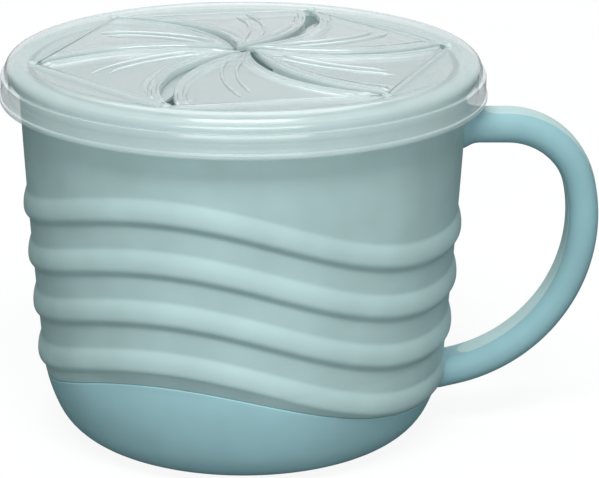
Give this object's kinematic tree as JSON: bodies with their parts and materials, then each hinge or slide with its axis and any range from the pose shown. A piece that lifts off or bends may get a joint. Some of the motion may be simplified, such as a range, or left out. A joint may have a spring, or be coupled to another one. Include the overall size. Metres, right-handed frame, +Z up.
{
  "type": "toddler snack container",
  "caption": "Ribbed two-colour snack cup with a side handle and a push-on clear lid of overlapping swirl flaps that a small hand pushes open.",
  "frame": {"origin": "on the cup's axis, at the flat underside of the foot", "axes": "+Z up along the cup's axis, +X toward the handle"},
  "size_m": [0.1317, 0.1066, 0.0869],
  "materials": {
    "light_plastic": "satin, fine grain",
    "dark_plastic": "satin, soft touch",
    "clear_lid": "milky clear, glossy",
    "clear_flap": "milky clear, glossy, flexible"
  },
  "bodies": {
    "cup": {"cup_shell": "light_plastic", "base_shell": "dark_plastic", "handle_core": "light_plastic", "handle_grip": "dark_plastic"},
    "lid": {"lid_rim": "clear_lid"},
    "flap_1": {"flap_1": "clear_flap"},
    "flap_2": {"flap_2": "clear_flap"},
    "flap_3": {"flap_3": "clear_flap"},
    "flap_4": {"flap_4": "clear_flap"},
    "flap_5": {"flap_5": "clear_flap"},
    "flap_6": {"flap_6": "clear_flap"}
  },
  "joints": [
    {"name": "lid_lift", "type": "slide", "parent": "cup", "child": "lid", "axis": [0, 0, 1], "range_m": [0, 0.06]},
    {"name": "flap_1_hinge", "type": "hinge", "parent": "lid", "child": "flap_1", "pos_m": [0.02972, 0.02494, 0.0847], "axis": [0.6428, -0.766, 0], "range_deg": [0, 45], "stiffness_Nm_per_rad": 0.02, "springref_deg": -2.86},
    {"name": "flap_2_hinge", "type": "hinge", "parent": "lid", "child": "flap_2", "pos_m": [-0.00674, 0.03821, 0.0847], "axis": [0.9848, 0.1736, 0], "range_deg": [0, 45], "stiffness_Nm_per_rad": 0.02, "springref_deg": -2.86},
    {"name": "flap_3_hinge", "type": "hinge", "parent": "lid", "child": "flap_3", "pos_m": [-0.03646, 0.01327, 0.0847], "axis": [0.342, 0.9397, 0], "range_deg": [0, 45], "stiffness_Nm_per_rad": 0.02, "springref_deg": -2.86},
    {"name": "flap_4_hinge", "type": "hinge", "parent": "lid", "child": "flap_4", "pos_m": [-0.02972, -0.02494, 0.0847], "axis": [-0.6428, 0.766, 0], "range_deg": [0, 45], "stiffness_Nm_per_rad": 0.02, "springref_deg": -2.86},
    {"name": "flap_5_hinge", "type": "hinge", "parent": "lid", "child": "flap_5", "pos_m": [0.00674, -0.03821, 0.0847], "axis": [-0.9848, -0.1736, 0], "range_deg": [0, 45], "stiffness_Nm_per_rad": 0.02, "springref_deg": -2.86},
    {"name": "flap_6_hinge", "type": "hinge", "parent": "lid", "child": "flap_6", "pos_m": [0.03646, -0.01327, 0.0847], "axis": [-0.342, -0.9397, 0], "range_deg": [0, 45], "stiffness_Nm_per_rad": 0.02, "springref_deg": -2.86}
  ],
  "couplings": [
    {"joint": "flap_2_hinge", "follows": "flap_1_hinge", "ratio": 1},
    {"joint": "flap_3_hinge", "follows": "flap_1_hinge", "ratio": 1},
    {"joint": "flap_4_hinge", "follows": "flap_1_hinge", "ratio": 1},
    {"joint": "flap_5_hinge", "follows": "flap_1_hinge", "ratio": 1},
    {"joint": "flap_6_hinge", "follows": "flap_1_hinge", "ratio": 1}
  ]
}
